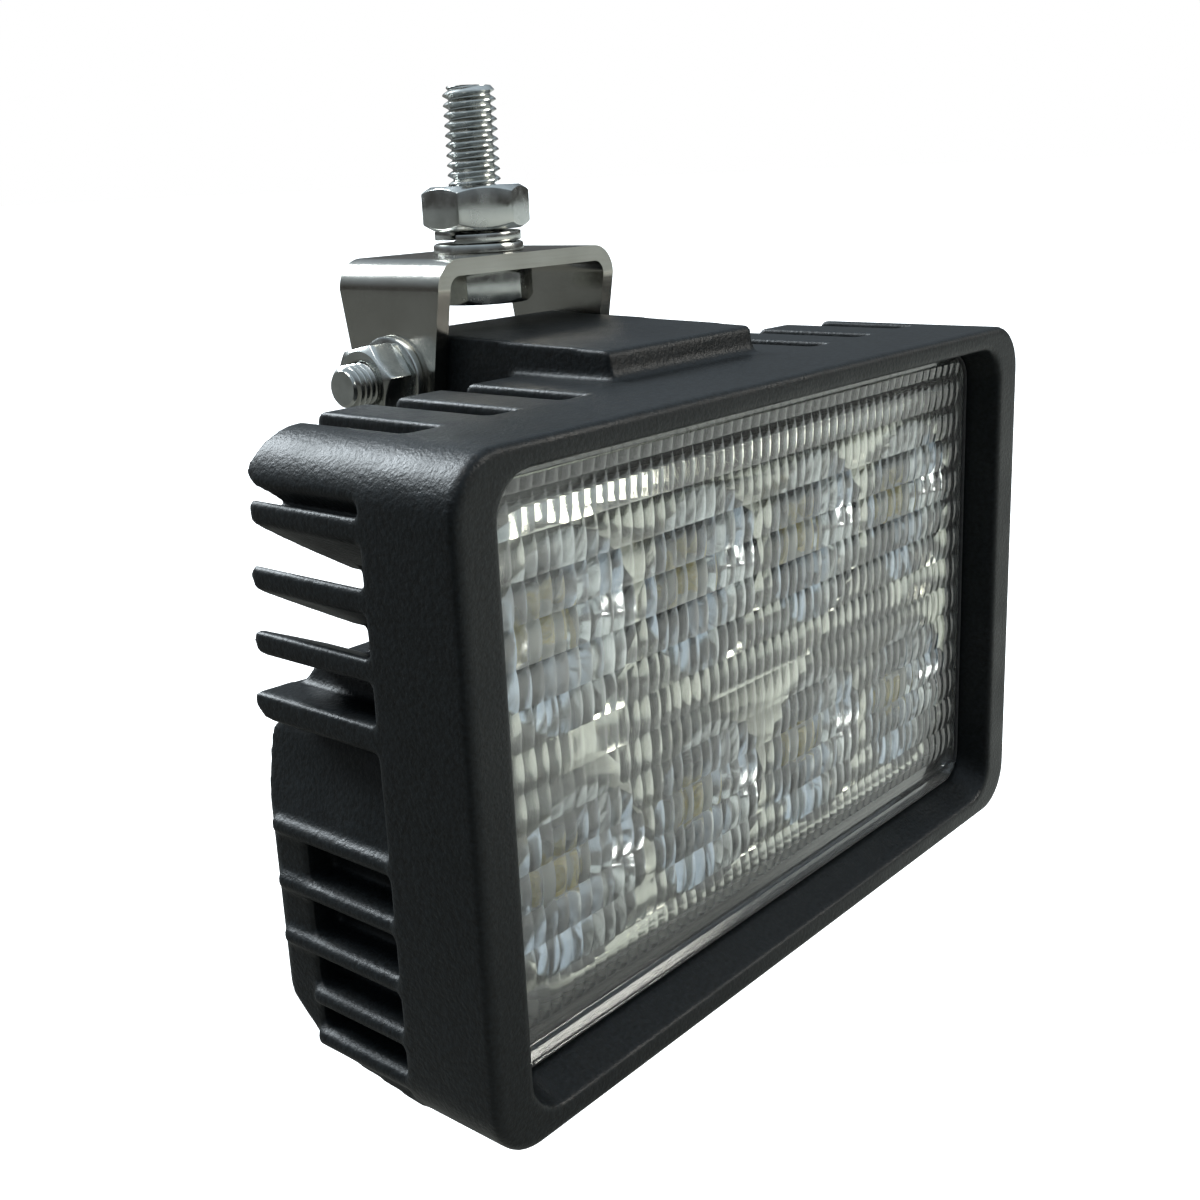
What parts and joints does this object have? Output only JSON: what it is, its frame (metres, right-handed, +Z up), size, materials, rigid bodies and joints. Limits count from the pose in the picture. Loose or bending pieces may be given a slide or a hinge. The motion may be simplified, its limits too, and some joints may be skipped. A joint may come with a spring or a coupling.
{
  "type": "led fog light",
  "caption": "Rectangular LED fog and work light: finned black die-cast housing, recessed fluted lens, steel U-bracket on one upright stud bolt.",
  "frame": {"origin": "on the mounting stud's axis, at the top face of the U-bracket's plate", "axes": "+Z up along the stud; the lamp shines along -Y; X is the lamp's width and the tilt axis"},
  "size_m": [0.162, 0.0862, 0.1545],
  "materials": {
    "powder_coat": "fine textured satin black powder coat on die-cast aluminium",
    "lens": "clear fluted polycarbonate",
    "reflector": "vacuum-metallised, bright",
    "led_board": "white solder mask",
    "led": "yellow phosphor under clear silicone",
    "thermal_pad": "matte grey silicone",
    "driver_board": "green solder mask",
    "electronics": "moulded black",
    "capacitor_can": "drawn can",
    "rubber": "matte black silicone",
    "nylon": "moulded black nylon",
    "stainless": "pressed stainless sheet, fine brushed",
    "zinc": "bright zinc plate"
  },
  "bodies": {
    "stud": {"stud_bolt": "stainless", "stud_washer": "zinc", "stud_spring_washer": "zinc", "stud_nut": "zinc"},
    "bracket": {"bracket": "stainless", "pivot_bolt": "zinc", "pivot_washer_left": "zinc", "pivot_washer_right": "zinc", "pivot_nut": "zinc"},
    "lamp": {"housing": "powder_coat", "lens": "lens", "lens_seal": "rubber", "reflector": "reflector", "led_board": "led_board", "thermal_pad": "thermal_pad", "led_1": "led", "led_2": "led", "led_3": "led", "led_4": "led", "led_5": "led", "led_6": "led", "led_7": "led", "led_8": "led", "board_screw_1": "zinc", "board_screw_2": "zinc", "board_screw_3": "zinc", "board_screw_4": "zinc", "driver_cover": "powder_coat", "cover_gasket": "rubber", "cover_screw_1": "stainless", "cover_screw_2": "stainless", "cover_screw_3": "stainless", "cover_screw_4": "stainless", "cover_screw_5": "stainless", "cover_screw_6": "stainless", "vent_plug": "nylon", "driver_board": "driver_board", "board_spacer_1": "zinc", "board_spacer_2": "zinc", "driver_choke": "electronics", "driver_capacitor_1": "capacitor_can", "driver_capacitor_2": "capacitor_can", "driver_controller": "electronics", "gland_body": "nylon", "gland_nut": "nylon", "gland_seal": "rubber"}
  },
  "joints": [
    {"name": "bracket_swivel", "type": "hinge", "parent": "stud", "child": "bracket", "pos_m": [0, 0, 0], "axis": [0, 0, 1], "continuous": true},
    {"name": "lamp_tilt", "type": "hinge", "parent": "bracket", "child": "lamp", "pos_m": [0, 0, -0.0213], "axis": [1, 0, 0], "range_deg": [-15, 60]}
  ]
}
